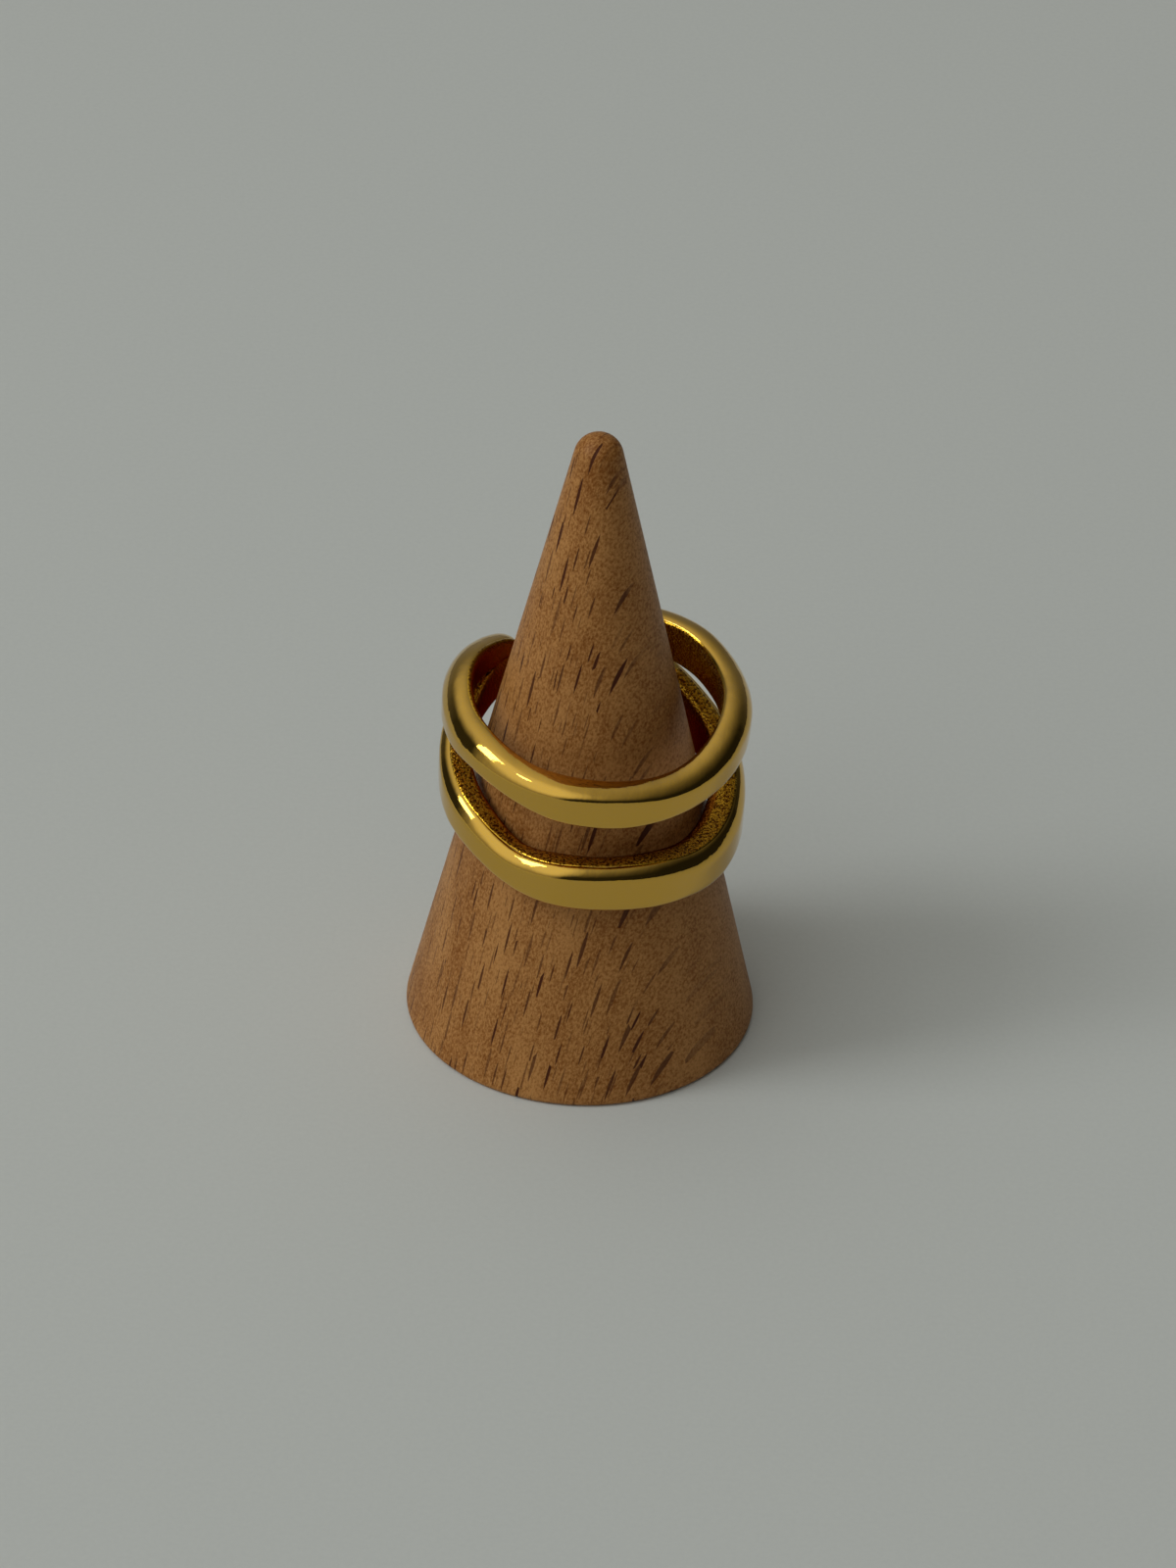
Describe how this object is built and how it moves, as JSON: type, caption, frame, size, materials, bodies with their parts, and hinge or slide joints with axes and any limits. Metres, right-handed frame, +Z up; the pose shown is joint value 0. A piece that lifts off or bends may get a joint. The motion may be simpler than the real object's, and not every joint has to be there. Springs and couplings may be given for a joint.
{
  "type": "open ring on a cone stand",
  "caption": "Open finger ring whose wide arms divide into an upper and a lower band round the front, resting on a small turned wooden cone with a rounded tip.",
  "frame": {"origin": "centre of the cone's flat foot, on the surface that it stands on", "axes": "+Z up along the cone's axis, -Y towards the front where the bands are widest apart, +X to the right"},
  "size_m": [0.0256, 0.0256, 0.05],
  "materials": {
    "gold_plated_brass": "polished",
    "beech": "satin, oiled"
  },
  "bodies": {
    "root": {"double_band_ring": "gold_plated_brass", "ring_cone": "beech"}
  },
  "joints": []
}
